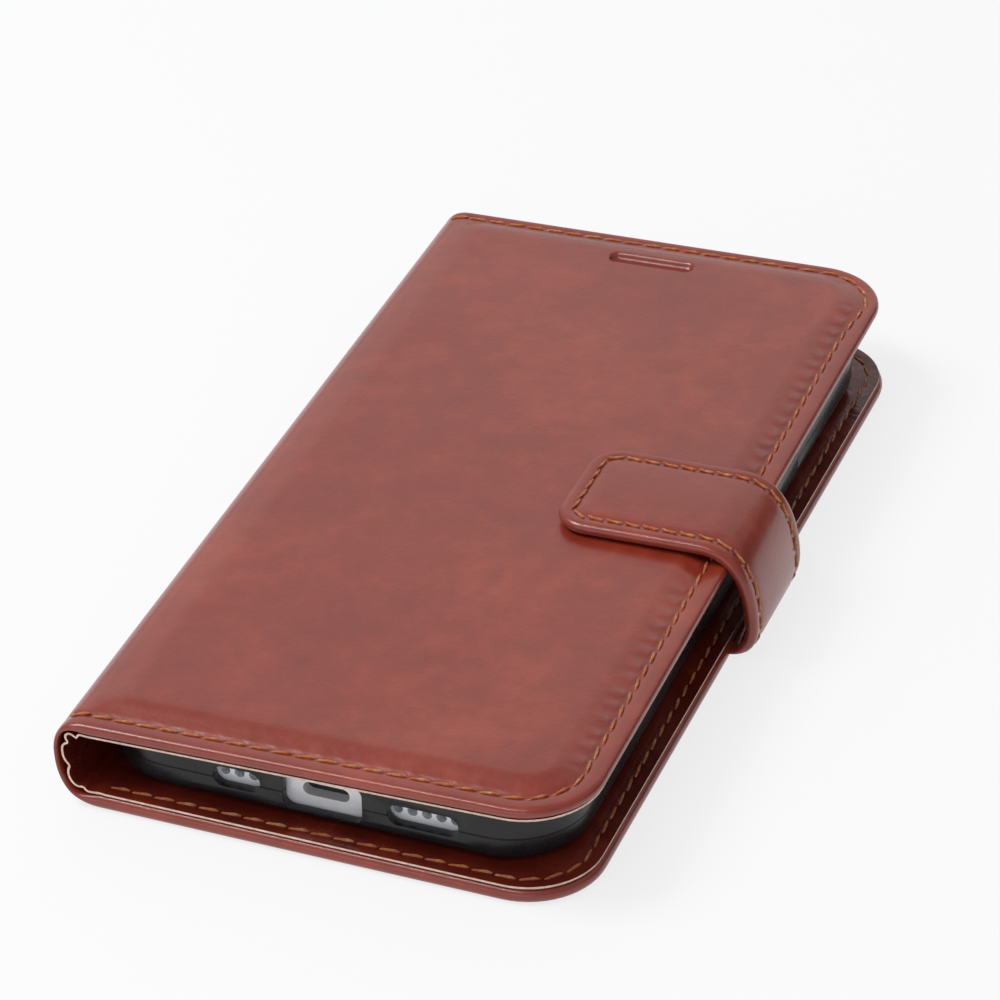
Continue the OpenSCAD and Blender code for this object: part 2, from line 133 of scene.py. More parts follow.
bends = {
    "spineMiddle": Vector((-0.1, 9.2)),     # X and height of the spine's outer face
    "strapMiddle": Vector((86.95, 8.5)),
    "frontFlat": 5,         # X where the flat part begins, and height of its good face
    "frontFace": 2.4,
    "backFlat": 7,
    "tipFlat": 77.5,
    "tipFace": 5.6,
    "rootFlat": 82,
    "rootLevel": 1.1,
}
spineMiddle, strapMiddle = bends["spineMiddle"], bends["strapMiddle"]
frontStart = onFrontPlane(bends["frontFlat"], bends["frontFace"])
tipStart = onFrontPlane(bends["tipFlat"], bends["tipFace"])
frontFold = makeFold(spineMiddle, spineMiddle + Vector((0, 3.2)),
                     frontStart - Vector((3.6, 0.11)), frontStart, 1)
backFold = makeFold(spineMiddle, spineMiddle - Vector((0, 4.8)),
                    Vector((1.8, 0)), Vector((bends["backFlat"], 0)), -1)
tipFold = makeFold(strapMiddle, strapMiddle + Vector((-0.6, 6)),
                   tipStart + Vector((6.6, 0.2)), tipStart, -1)
rootFold = makeFold(strapMiddle, strapMiddle + Vector((0.3, -3)),
                    Vector((87.3, bends["rootLevel"])), Vector((bends["rootFlat"], bends["rootLevel"])), 1)
frontFold.update(waveLength=4.0, waveStart=0.525)       # for the lining's puckers
backFold.update(waveLength=5.8, waveStart=0.448)


def alongFront(x):
    # distance along the folded front leather, from the middle of the spine, of a place at X
    return frontFold["total"] + (x - frontStart.x) / math.cos(case["tilt"])


def alongBack(x):
    return backFold["total"] + x - bends["backFlat"]


def alongTip(along):
    return tipFold["total"] + bends["tipFlat"] - along


def alongRoot(x):
    return rootFold["total"] + bends["rootFlat"] - x


def edgeDistance(x, y, sheet):
    # distance inside the sheet's outline, and the direction towards the nearest edge
    r = sheet["radius"]
    side = 1 if y > sheet["middle"] else -1
    dx = x - (sheet["end"] - r)
    dy = abs(y - sheet["middle"]) - (sheet["half"] - r)
    if dx > 0 and dy > 0:
        far = math.hypot(dx, dy)
        return r - far, dx / far, side * dy / far
    return (r - dx, 1, 0) if dx > dy else (r - dy, 0, side)


def deselectAll():
    if bpy.context.mode != "OBJECT":
        bpy.ops.object.mode_set(mode="OBJECT")
    bpy.ops.object.select_all(action="DESELECT")


def pickOnly(piece):
    deselectAll()
    piece.select_set(True)
    bpy.context.view_layer.objects.active = piece


def cutAcross(place, normal):
    # in edit mode: a cut line through the whole sheet
    bpy.ops.mesh.select_all(action="SELECT")
    bpy.ops.mesh.bisect(plane_co=place, plane_no=normal)


def selectIn(piece, kind, test):
    # in edit mode: selects the vertices or faces whose centre passes the test
    bpy.ops.mesh.select_mode(type=kind)
    bpy.ops.mesh.select_all(action="DESELECT")
    bpy.ops.object.mode_set(mode="OBJECT")
    if kind == "VERT":
        for v in piece.data.vertices:
            v.select = test(v.co)
    else:
        for f in piece.data.polygons:
            f.select = test(f.center)
    bpy.ops.object.mode_set(mode="EDIT")


def flatSheet(name, sheet, rings, cutsX, cutsY, fine=None, window=None):
    # a flat sheet with two round corners at its free end, cut off square at X = 0
    deselectAll()
    margin = 30
    bpy.ops.mesh.primitive_plane_add(size=1, location=((sheet["end"] - margin) / 2, sheet["middle"], 0))
    piece = bpy.context.object
    piece.name = name
    piece.data.name = name
    piece.scale = (sheet["end"] + margin, 2 * sheet["half"], 1)
    bpy.ops.object.transform_apply(location=True, rotation=True, scale=True)
    bpy.ops.object.mode_set(mode="EDIT")
    selectIn(piece, "VERT", lambda c: c.x > 0)
    bpy.ops.mesh.bevel(offset=sheet["radius"], offset_type="OFFSET", segments=sheet.get("arcs", 14),
                       profile=0.5, affect="VERTICES")
    bpy.ops.mesh.select_mode(type="FACE")
    bpy.ops.mesh.select_all(action="SELECT")
    for a, b in zip([0] + rings, rings):
        bpy.ops.mesh.inset(thickness=b - a, depth=0, use_boundary=True, use_even_offset=True)
    bpy.ops.mesh.select_all(action="SELECT")
    bpy.ops.mesh.bisect(plane_co=(0, 0, 0), plane_no=(1, 0, 0), clear_inner=True)
    for x in cutsX:
        cutAcross((x, 0, 0), (1, 0, 0))
    for y in cutsY:
        cutAcross((0, y, 0), (0, 1, 0))
    if fine:
        cutFinely(piece, fine)
    if window:
        (x0, x1), (y0, y1) = window
        for x in (x0, x1):
            cutAcross((x, 0, 0), (1, 0, 0))
        for y in (y0, y1):
            cutAcross((0, y, 0), (0, 1, 0))
        selectIn(piece, "FACE", lambda c: x0 < c.x < x1 and y0 < c.y < y1)
        bpy.ops.mesh.delete(type="FACE")
    bpy.ops.object.mode_set(mode="OBJECT")
    return piece


def cutFinely(piece, fine):
    # extra cuts in one small region
    (x0, x1), (y0, y1), step = fine
    for low, high, normal in ((x0, x1, (1, 0, 0)), (y0, y1, (0, 1, 0))):
        for i in range(int((high - low) / step) + 1):
            selectIn(piece, "FACE", lambda c: x0 - 4 < c.x < x1 + 4 and y0 - 3 < c.y < y1 + 3)
            bpy.ops.mesh.bisect(plane_co=(low + i * step, low + i * step, 0), plane_no=normal)


def steps(start, end, count):
    return [start + (end - start) * i / (count - 1) for i in range(count)]


# the leather is turned round a cover's edge and a little way under it
def rimRings(rim, more):
    arc = [rim["turn"] + rim["wrap"] * i / 8 for i in range(9)]
    return [rim["turn"] / 2] + arc + [rimGrowth(rim) + inset for inset in more]


def rimGrowth(rim):
    # how far the flat leather stands out past the finished edge
    return rim["turn"] + rim["wrap"] - rim["radius"]


def rimProfile(distance, rim):
    # finished inset, and share of the thickness that the place lies below the good face
    if distance < rim["turn"]:
        return rim["radius"] + rim["turn"] - distance, 1
    if distance < rim["turn"] + rim["wrap"]:
        angle = (distance - rim["turn"]) / rim["wrap"] * math.pi
        return rim["radius"] * (1 - math.sin(angle)), (1 + math.cos(angle)) / 2
    return distance - rimGrowth(rim), 0


def foldSheet(piece, sheet, fold, thickness, height, rim=None, drift=None):
    # bends the flat sheet along its fold line and keeps its flat place as its UV map
    # and its distance from the finished edge as an attribute
    mesh = piece.data
    flatMap = mesh.uv_layers.new(name="leatherPlace")
    for loop in mesh.loops:
        c = mesh.vertices[loop.vertex_index].co
        flatMap.data[loop.index].uv = (c.x / 100, c.y / 100)       # 1 in the map is 100 mm
    insets = mesh.attributes.new("edgeInset", "FLOAT", "POINT")
    for v in mesh.vertices:
        x, y = v.co.x, v.co.y
        distance, outX, outY = edgeDistance(x, y, sheet)
        inset, share = rimProfile(distance, rim) if rim else (distance, 0)
        if rim:
            x -= outX * (rimGrowth(rim) + inset - distance)
            y -= outY * (rimGrowth(rim) + inset - distance)
        insets.data[v.index].value = inset
        rise = height(x, y, inset) * (1 - share) - thickness(x) * share
        v.co = foldPoint(x, y, rise, fold, drift)
    if fold["side"] < 0:        # a fold to the other side turns the faces round
        mesh.flip_normals()
    mesh.update()


def foldPoint(x, y, rise, fold, drift=None):
    place, out = foldAt(fold, x)
    place = place + out * rise
    shift = drift(x, y) if drift else 0
    return Vector(((place.x + shift - originX) * mm, y * mm, place.y * mm))


def applyModifiers(piece):
    pickOnly(piece)
    for modifier in list(piece.modifiers):
        bpy.ops.object.modifier_apply(modifier=modifier.name)


def smoothPiece(piece, degrees=40):
    pickOnly(piece)
    bpy.ops.object.shade_smooth_by_angle(angle=math.radians(degrees))


def thicken(piece, thickness, rimSlot=0):
    # a sheet gets its thickness on the side away from its good face
    modifier = piece.modifiers.new("thickness", "SOLIDIFY")
    modifier.thickness = thickness * mm
    modifier.offset = -1
    modifier.material_offset_rim = rimSlot
    applyModifiers(piece)


def newMaterial(name, **uniform):
    material = bpy.data.materials.new(name)
    material.use_nodes = True
    shader = material.node_tree.nodes["Principled BSDF"]
    for socket, value in uniform.items():
        shader.inputs[socket.replace("_", " ")].default_value = value
    return material, material.node_tree, shader


def addNode(tree, kind, values=None, **settings):
    made = tree.nodes.new(kind)
    for key, value in settings.items():
        setattr(made, key, value)
    for key, value in (values or {}).items():
        if isinstance(value, bpy.types.NodeSocket):
            tree.links.new(value, made.inputs[key])
        else:
            made.inputs[key].default_value = value
    return made


def objectPlace(tree, scale=(1, 1, 1)):
    place = addNode(tree, "ShaderNodeTexCoord")
    return addNode(tree, "ShaderNodeMapping", {"Vector": place.outputs["Object"], "Scale": scale}).outputs[0]


def noiseAt(tree, place, scale, detail=4, roughness=0.55, distortion=0):
    made = addNode(tree, "ShaderNodeTexNoise", {"Vector": place, "Scale": scale, "Detail": detail,
                                                "Roughness": roughness, "Distortion": distortion})
    return made.outputs["Fac"]


def feed(shader, **sources):
    # links each source to the shader's socket of that name
    for socket, source in sources.items():
        shader.id_data.links.new(source, shader.inputs[socket.replace("_", " ")])


def ramp(tree, factor, colours, *positions):
    # runs from the deep colour over the middle one, if there is one, to the pale one
    made = addNode(tree, "ShaderNodeValToRGB", {"Fac": factor})
    shades = [colours[key] for key in ("deep", "middle", "pale") if key in colours]
    elements = made.color_ramp.elements
    while len(elements) < len(shades):
        elements.new(0.5)
    for element, position, colour in zip(elements, positions, shades):
        element.position = position
        element.color = (*colour, 1)
    return made.outputs["Color"]


def mapTo(tree, value, fromLow, fromHigh, toLow, toHigh, kind="SMOOTHSTEP"):
    return addNode(tree, "ShaderNodeMapRange", {"Value": value, "From Min": fromLow, "From Max": fromHigh,
                                                "To Min": toLow, "To Max": toHigh},
                   interpolation_type=kind).outputs[0]


def math2(tree, operation, a, b):
    return addNode(tree, "ShaderNodeMath", {0: a, 1: b}, operation=operation).outputs[0]


def mixColour(tree, factor, a, b, blend="MIX"):
    made = addNode(tree, "ShaderNodeMix", {0: factor}, data_type="RGBA", blend_type=blend)
    for index, value in ((6, a), (7, b)):
        if isinstance(value, bpy.types.NodeSocket):
            tree.links.new(value, made.inputs[index])
        else:
            made.inputs[index].default_value = (*value, 1)
    return made.outputs[2]


def bump(tree, height, distance, strength=1.0, base=None):
    values = {"Height": height, "Distance": distance, "Strength": strength}
    if base:
        values["Normal"] = base
    return addNode(tree, "ShaderNodeBump", values).outputs[0]


leatherFinish = {
    "deep": (0.185, 0.018, 0.008),
    "middle": (0.235, 0.026, 0.012),
    "pale": (0.32, 0.046, 0.021),
    "speck": (0.62, 0.36, 0.27),
    "puckers": 8.85,        # as many puckers as stitches
}


def outerLeather(name, creased=False):
    # glossy pull-up leather: cloudy colour, fine grain, a few pale scuffs
    m, tree, shader = newMaterial(name, Specular_IOR_Level=0.58, Coat_Weight=0.28, Coat_Roughness=0.06)
    place = objectPlace(tree)
    clouds = noiseAt(tree, place, 42, 6, 0.6, 0.4)
    mottle = noiseAt(tree, place, 210, 5, 0.65)
    both = math2(tree, "ADD", math2(tree, "MULTIPLY", clouds, 0.5), math2(tree, "MULTIPLY", mottle, 0.5))
    colour = ramp(tree, both, leatherFinish, 0.32, 0.5, 0.70)
    rubs = noiseAt(tree, objectPlace(tree, (500, 160, 400)), 1, 7, 0.8, 0.8)
    colour = mixColour(tree, mapTo(tree, rubs, 0.55, 0.75, 0, 0.5), colour, leatherFinish["pale"])
    cells = addNode(tree, "ShaderNodeTexVoronoi", {"Vector": place, "Scale": 80}, feature="F1")
    spot = mapTo(tree, cells.outputs["Distance"], 0.014, 0.03, 1, 0)
    chosen = addNode(tree, "ShaderNodeSeparateColor", {"Color": cells.outputs["Color"]}).outputs[0]
    spot = math2(tree, "MULTIPLY", spot, math2(tree, "GREATER_THAN", chosen, 0.93))
    colour = mixColour(tree, math2(tree, "MULTIPLY", spot, 0.7), colour, leatherFinish["speck"])
    grain = addNode(tree, "ShaderNodeTexVoronoi", {"Vector": place, "Scale": 1500}, feature="SMOOTH_F1")
    pores = noiseAt(tree, place, 1300, 1, 0.5)
    surface = bump(tree, grain.outputs["Distance"], 0.00010, 0.2)
    surface = bump(tree, pores, 0.00010, 0.2, surface)
    if creased:
        surface = edgeCreases(tree, surface)
    feed(shader, Base_Color=colour, Normal=surface,
         Roughness=mapTo(tree, mottle, 0.3, 0.7, 0.31, 0.36, "LINEAR"))
    return m


def edgeCreases(tree, surface):
    # small puckers that run in from the stitching
    inset = addNode(tree, "ShaderNodeAttribute", attribute_name="edgeInset").outputs["Fac"]
    near = math2(tree, "MULTIPLY", mapTo(tree, inset, 3.5, 4.3, 0, 1), mapTo(tree, inset, 4.3, 7, 1, 0))
    flat = addNode(tree, "ShaderNodeUVMap", uv_map="leatherPlace").outputs[0]
    parts = addNode(tree, "ShaderNodeSeparateXYZ", {"Vector": flat})
    near = math2(tree, "MULTIPLY", near, mapTo(tree, parts.outputs[0], 0.14, 0.24, 0, 1))
    atEnd = mapTo(tree, math2(tree, "ABSOLUTE", parts.outputs[1], 0), 0.66, 0.70, 0, 1)
    waves = {"Vector": flat, "Scale": leatherFinish["puckers"], "Distortion": 2.2,
             "Detail": 2, "Detail Scale": 2}
    near = math2(tree, "MULTIPLY", near, mapTo(tree, atEnd, 0, 1, 1, 0.25))
    sideFold = addNode(tree, "ShaderNodeTexWave", waves, bands_direction="Y").outputs["Fac"]
    endFold = addNode(tree, "ShaderNodeTexWave", waves, bands_direction="X").outputs["Fac"]
    both = addNode(tree, "ShaderNodeMix", {0: atEnd, 2: sideFold, 3: endFold}).outputs[0]
    return bump(tree, math2(tree, "MULTIPLY", both, near), 0.00026, 0.6, surface)


liningFinish = {
    "deep": (0.08, 0.009, 0.005),
    "middle": (0.145, 0.016, 0.008),
    "pale": (0.21, 0.029, 0.014),
}


def liningLeather():
    # smooth, dark red and glossy
    m, tree, shader = newMaterial("liningLeather", Specular_IOR_Level=0.35, Coat_Weight=0.12,
                                  Coat_Roughness=0.08)
    place = objectPlace(tree)
    clouds = noiseAt(tree, place, 90, 5, 0.6, 0.3)
    grain = addNode(tree, "ShaderNodeTexVoronoi", {"Vector": place, "Scale": 1100}, feature="SMOOTH_F1")
    surface = bump(tree, grain.outputs["Distance"], 0.00012, 0.3)
    surface = bump(tree, noiseAt(tree, place, 260, 3), 0.0008, 0.35, surface)
    feed(shader, Base_Color=ramp(tree, clouds, liningFinish, 0.3, 0.55, 0.75),
         Roughness=mapTo(tree, clouds, 0.3, 0.7, 0.16, 0.3, "LINEAR"), Normal=surface)
    return m


edgeFinish = {
    "deep": (0.60, 0.36, 0.27),
    "middle": (0.86, 0.64, 0.52),
    "pale": (0.93, 0.78, 0.68),
}


def cutEdge():
    # the pale cloth backing that shows where the lining is cut
    m, tree, shader = newMaterial("cutEdge", Sheen_Weight=0.2)
    fibres = noiseAt(tree, objectPlace(tree), 900, 5, 0.7)
    feed(shader, Base_Color=ramp(tree, fibres, edgeFinish, 0.3, 0.6, 0.8),
         Roughness=mapTo(tree, fibres, 0.3, 0.7, 0.5, 0.8, "LINEAR"), Normal=bump(tree, fibres, 0.0002, 0.5))
    return m


threadFinish = {
    "deep": (0.72, 0.13, 0.02),
    "middle": (0.98, 0.27, 0.05),
    "pale": (1.0, 0.58, 0.27),
    "between": (0.34, 0.05, 0.01),      # painted shade in the grooves between the strands
    "strandAngle": math.radians(38),
}


def sewingThread():
    # waxed orange thread, twisted, with painted shade in the grooves between its strands
    m, tree, shader = newMaterial("sewingThread", Specular_IOR_Level=0.8, Sheen_Weight=0.1)
    shade = noiseAt(tree, objectPlace(tree), 900, 4, 0.7)
    own = addNode(tree, "ShaderNodeUVMap", uv_map="UVMap").outputs[0]
    turned = addNode(tree, "ShaderNodeMapping", {"Vector": own,
                                                 "Rotation": (0, 0, threadFinish["strandAngle"])})
    waves = {"Vector": turned.outputs[0], "Scale": 3.2, "Distortion": 1.2, "Detail": 2}
    twist = addNode(tree, "ShaderNodeTexWave", waves, wave_type="BANDS").outputs["Fac"]
    colour = ramp(tree, shade, threadFinish, 0.3, 0.5, 0.66)
    # painted shade: the colour darkens towards the grooves of the twist
    colour = mixColour(tree, mapTo(tree, twist, 0, 0.3, 0.6, 0, "LINEAR"), colour, threadFinish["between"])
    feed(shader, Base_Color=colour, Roughness=mapTo(tree, twist, 0, 1, 0.55, 0.3, "LINEAR"),
         Normal=bump(tree, twist, 0.0003, 0.8))
    return m


rubberFinish = {
    "deep": (0.005, 0.005, 0.006),
    "pale": (0.012, 0.012, 0.014),
    "partingLine": 0.0074,      # its height
}


def rubber():
    # black TPU with a soft gloss and a fine parting line at mid-height
    m, tree, shader = newMaterial("trayRubber", Specular_IOR_Level=0.4)
    place = objectPlace(tree)
    cloud = noiseAt(tree, place, 120, 4, 0.6)
    level = addNode(tree, "ShaderNodeSeparateXYZ", {"Vector": place}).outputs[2]
    offLine = math2(tree, "ABSOLUTE", math2(tree, "SUBTRACT", level, rubberFinish["partingLine"]), 0)
    surface = bump(tree, noiseAt(tree, place, 1800, 3), 0.00006, 0.4)
    surface = bump(tree, mapTo(tree, offLine, 0.00004, 0.00014, 0, 1), 0.0003, 0.8, surface)
    feed(shader, Base_Color=ramp(tree, cloud, rubberFinish, 0.3, 0.7),
         Roughness=mapTo(tree, cloud, 0.3, 0.7, 0.2, 0.32, "LINEAR"), Normal=surface)
    return m


boardFinish = {"deep": (0.30, 0.26, 0.22), "pale": (0.50, 0.45, 0.40)}


def greyBoard():
    m, tree, shader = newMaterial("greyBoard")
    fibres = noiseAt(tree, objectPlace(tree, (1, 3, 1)), 500, 6, 0.7)
    feed(shader, Base_Color=ramp(tree, fibres, boardFinish, 0.3, 0.7),
         Roughness=mapTo(tree, fibres, 0.3, 0.7, 0.75, 0.95, "LINEAR"),
         Normal=bump(tree, fibres, 0.0002, 0.5))
    return m


def brushedMetal(name, colour):
    m, tree, shader = newMaterial(name, Metallic=1.0)
    brushed = noiseAt(tree, objectPlace(tree, (60, 2500, 60)), 1, 4, 0.6)
    dark = tuple(c * 0.8 for c in colour)
    feed(shader, Base_Color=ramp(tree, brushed, {"deep": dark, "pale": colour}, 0.3, 0.7),
         Roughness=mapTo(tree, brushed, 0.3, 0.7, 0.28, 0.42, "LINEAR"),
         Normal=bump(tree, brushed, 0.00004, 0.3))
    return m


glueFinish = {"deep": (0.62, 0.58, 0.48), "pale": (0.78, 0.75, 0.67)}


def glueFilm():
    m, tree, shader = newMaterial("glueFilm", Transmission_Weight=0.2)
    blobs = noiseAt(tree, objectPlace(tree), 160, 4, 0.6)
    feed(shader, Base_Color=ramp(tree, blobs, glueFinish, 0.3, 0.7),
         Roughness=mapTo(tree, blobs, 0.3, 0.7, 0.3, 0.6, "LINEAR"))
    return m


finish = {
    "leather": outerLeather("outerLeather"),
    "paddedLeather": outerLeather("paddedLeather", True),
    "lining": liningLeather(),
    "edge": cutEdge(),
    "thread": sewingThread(),
    "rubber": rubber(),
    "board": greyBoard(),
    "steel": brushedMetal("steelPlate", (0.62, 0.62, 0.64)),
    "magnet": brushedMetal("magnetPlating", (0.46, 0.46, 0.49)),
    "glue": glueFilm(),
}


def dress(piece, *names):
    piece.data.materials.clear()
    for name in names:
        piece.data.materials.append(finish[name])


print("materials made")


hinges = {      # reach is how far the leather bends on both sides of the joint
    "front": {"joint": "cover_fold", "parent": "spine", "child": "front_cover", "way": (1, 0, 1),
              "reach": 3.4},
    "back": {"joint": "spine_fold", "parent": "back_cover", "child": "spine", "way": (-1, 0, 1),
             "reach": 3.4},
    "tip": {"joint": "strap_tip_fold", "parent": "strap_side", "child": "strap_tip", "way": (-1, 0, 1),
            "reach": 5.5},
    "root": {"joint": "strap_root_fold", "parent": "back_cover", "child": "strap_side", "way": (1, 0, 1),
             "reach": 2.4},
}


def bendAt(piece):
    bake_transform(piece)


def outerSheet(piece, leather, hinge, *nodes):
    # last steps of every piece of outer leather
    dress(piece, leather)
    thicken(piece, case["skin"])
    smoothPiece(piece, 60)
    bendAt(piece)
    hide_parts(*nodes)


front = {
    "rim": {"turn": 2.2, "wrap": 3.0, "radius": 0.85},
    "thickness": 1.8,       # leather and board at the edge
    "spineThickness": 0.8,
    "rings": [1.5, 2.1, 2.5, 2.85, 3.2, 3.55, 3.9, 4.4, 5.0, 5.7, 6.5, 7.4, 8.4],       # edge loops
    "stitchInset": 3.2,
    "stitchDip": 0.26,
    "dipWidth": 0.6,
    "crown": 0.92,          # how far the padding stands above the edge
    "crownInset": 3.3,
    "crownWidth": 4.6,
    "unevenness": 0.10,
    "ear": {"x": 41.3, "y": 70.6, "length": 15, "width": 2.9, "depth": 1.0},
    "farPull": 1.1,         # at the far end the stitching and the padding run nearer to the edge
}
front["end"] = alongFront(case["frontWidth"])


def frontDrift(x, y):
    # the free edge isn't quite parallel to the spine
    share = (y + case["halfLength"]) / (2 * case["halfLength"])
    return (case["nearSplay"] * (1 - share) + case["farSplay"] * share) * smooth(8, front["end"], x)


def frontThickness(x):
    flat = smooth(frontFold["total"] - 5, frontFold["total"] + 1, x)
    return front["spineThickness"] + (front["thickness"] - front["spineThickness"]) * flat


def pillDistance(x, y, pill):
    # distance outside a pill-shaped outline, negative inside
    dx = max(0, abs(x - pill["x"]) - (pill["length"] - pill["width"]) / 2)
    return math.hypot(dx, y - pill["y"]) - pill["width"] / 2


def farPull(y):
    return front["farPull"] * smooth(56, 72, y)


def frontHeight(x, y, inset):
    ear = front["ear"]
    inset += farPull(y)
    dip = front["stitchDip"] * math.exp(-((inset - front["stitchInset"]) / front["dipWidth"]) ** 2)
    dip *= smooth(frontFold["total"] - 6, frontFold["total"] - 2, x)
    padded = smooth(frontFold["total"] - 3, frontFold["total"] + 4.5, x)
    crownStart = front["crownInset"]
    crown = front["crown"] * smooth(crownStart, crownStart + front["crownWidth"], inset) * padded
    wave = noise.noise(Vector((x / 19, y / 19, 2.4))) + 0.5 * noise.noise(Vector((x / 8, y / 8, 5.1)))
    uneven = front["unevenness"] * wave * smooth(4, 12, inset) * padded
    outside = pillDistance(x - frontFold["total"] + frontStart.x, y, ear)
    groove = ear["depth"] * smooth(0.2, -0.5, outside) if abs(outside) < 4 else 0
    uneven *= smooth(0, 3, outside)
    return crown + uneven - dip - groove


coverOutline = {"half": case["halfLength"], "radius": case["cornerRadius"], "middle": 0}


def coverSheet(end, grow):
    return {"end": end + grow, "half": coverOutline["half"] + grow,
            "radius": coverOutline["radius"] + grow, "middle": 0}


def frontLeather():
    sheet = coverSheet(front["end"], rimGrowth(front["rim"]))
    rings = rimRings(front["rim"], front["rings"])
    fold = frontFold["total"]
    cutsX = steps(0.6, fold + 5, 26) + steps(fold + 8, front["end"] - 8, 22)
    earX = alongFront(front["ear"]["x"])
    fine = ((earX - 8.6, earX + 8.6), (front["ear"]["y"] - 2.9, front["ear"]["y"] + 2.9), 0.3)
    piece = flatSheet("frontLeather", sheet, rings, cutsX, steps(-70, 70, 46), fine)
    foldSheet(piece, sheet, frontFold, frontThickness, frontHeight, front["rim"], frontDrift)
    outerSheet(piece, "paddedLeather", "front", "front_outer_skin", "front_padding", "spine_skin")


back = {
    "rim": {"turn": 2.2, "wrap": 3.2, "radius": 1.0},
    "thickness": 2.2,
    "spineThickness": 0.8,
    "rings": [1.5, 1.9, 2.25, 2.6, 2.95, 3.6],
    "stitchInset": 2.6,
    "stitchDip": 0.25,
    "dipWidth": 0.5,
    "camera": {"x": 60.35, "y": 55.85, "width": 31, "radius": 8,       # middle and size of the window
               "frame": 1, "frameDepth": 2.74},
}
back["end"] = alongBack(case["backWidth"])


def backThickness(x):
    flat = smooth(backFold["total"] - 6, backFold["total"], x)
    return back["spineThickness"] + (back["thickness"] - back["spineThickness"]) * flat


def backHeight(x, y, inset):
    dip = back["stitchDip"] * math.exp(-((inset - back["stitchInset"]) / back["dipWidth"]) ** 2)
    return -dip * smooth(backFold["total"] - 2, backFold["total"] + 2, x)


def windowCutter():
    # a rounded block through the camera window
    window = back["camera"]
    return roundedBlock("windowCutter", (window["x"] - originX, window["y"], -2),
                        (window["width"], window["width"]), window["radius"], 9)


def flatWindow():
    # the square that is left out of a flat sheet of the back cover, for the window's frame
    window = back["camera"]
    half = window["width"] / 2 + window["frame"]
    middle = alongBack(window["x"])
    return (middle - half, middle + half), (window["y"] - half, window["y"] + half)


def roundedBlock(name, foot, size, radius, height, segments=8):
    # upright block with round corners, its foot's middle at the given place, in millimetres
    deselectAll()
    bpy.ops.mesh.primitive_plane_add(size=1, location=Vector(foot) * mm)
    block = bpy.context.object
    block.name = name
    block.scale = (size[0] * mm, size[1] * mm, 1)
    bpy.ops.object.transform_apply(location=True, rotation=True, scale=True)
    bpy.ops.object.mode_set(mode="EDIT")
    bpy.ops.mesh.select_mode(type="VERT")
    bpy.ops.mesh.select_all(action="SELECT")
    bpy.ops.mesh.bevel(offset=radius * mm, offset_type="OFFSET", segments=segments,
                       profile=0.5, affect="VERTICES")
    bpy.ops.mesh.select_all(action="SELECT")
    bpy.ops.mesh.extrude_region_move(TRANSFORM_OT_translate={"value": (0, 0, height * mm)})
    bpy.ops.mesh.select_all(action="SELECT")
    bpy.ops.mesh.normals_make_consistent(inside=False)
    bpy.ops.object.mode_set(mode="OBJECT")
    return block


def cutAway(piece, cutter):
    modifier = piece.modifiers.new("cut", "BOOLEAN")
    modifier.operation = "DIFFERENCE"
    modifier.solver = "EXACT"
    modifier.object = cutter
    applyModifiers(piece)
    bpy.data.objects.remove(cutter)


def backLeather():
    sheet = coverSheet(back["end"], rimGrowth(back["rim"]))
    rings = rimRings(back["rim"], back["rings"])
    fold = backFold["total"]
    cutsX = steps(0.6, fold + 3, 26) + steps(fold + 8, back["end"] - 8, 8)
    piece = flatSheet("backLeather", sheet, rings, cutsX, steps(-70, 70, 16), None, flatWindow())
    foldSheet(piece, sheet, backFold, backThickness, backHeight, back["rim"])
    outerSheet(piece, "leather", "back", "back_outer_skin", "spine_skin")


def windowFrame():
    # leather frame of the camera window, let into the back cover
    window = back["camera"]
    size = window["width"] + 2 * window["frame"]
    frameBlock = roundedBlock("windowFrame", (window["x"] - originX, window["y"], 0.02),
                              (size, size), 0.3, window["frameDepth"], 2)
    cutAway(frameBlock, windowCutter())
    frameBlock.modifiers.new("flatFaces", "TRIANGULATE")
    applyModifiers(frameBlock)
    dress(frameBlock, "leather")
    smoothPiece(frameBlock)
    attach(frameBlock, "back_cover")


frontLeather()
backLeather()
windowFrame()
print("covers made")

lining = {
    "inset": 0.6,
    "gap": 0.25,            # between the leather's turned edge and the lining
    "thickness": 0.35,
    "rings": [0.2, 1.4, 1.7, 2.0, 2.3, 2.7],
    "groove": 0.2,          # pressed in by the stitching
    "grooveInset": 2.0,
    "waveDepth": 0.9,       # the lining puckers where it turns round the spine
    "spineSlack": 0.12,
}


def rippled(x, y, fold):
    # how far the lining hangs away from the leather at the spine
    near = smooth(fold["total"] + 1.0, fold["total"] - 2, x)
    end = 0.35 + 0.65 * smooth(40, 78, abs(y))
    phase = math.pi * (x / fold["waveLength"] - fold["waveStart"] + 0.1 * math.sin(y / 9))
    pucker = (1 - abs(math.sin(phase)) ** 0.8) ** 1.2     # sharp towards the inside, round outside
    return near * (lining["spineSlack"] + end * lining["waveDepth"] * pucker)


def liningSheet(name, hinge, end, fold, thickness, drift=None, window=None):
    sheet = coverSheet(end, -lining["inset"])
    cutsX = steps(0.3, fold["total"] + 2, 44) + steps(fold["total"] + 6, end - 12, 10)
    piece = flatSheet(name, sheet, lining["rings"], cutsX, steps(-76, 76, 32), None, window)

    def height(x, y, inset):
        groove = lining["groove"] * math.exp(-((inset - lining["grooveInset"]) / 0.4) ** 2)
        groove *= smooth(fold["total"], fold["total"] + 3, x)
        return -thickness(x) - lining["gap"] - rippled(x, y, fold) + groove

    foldSheet(piece, sheet, fold, lambda x: 0, height, None, drift)
    dress(piece, "lining", "edge")
    thicken(piece, lining["thickness"], 1)
    smoothPiece(piece, 50)
    bendAt(piece)
    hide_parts(hinge + "_lining", "spine_lining")


liningSheet("frontLining", "front", front["end"], frontFold, frontThickness, frontDrift)
liningSheet("backLining", "back", back["end"], backFold, backThickness, None, flatWindow())
print("linings made")

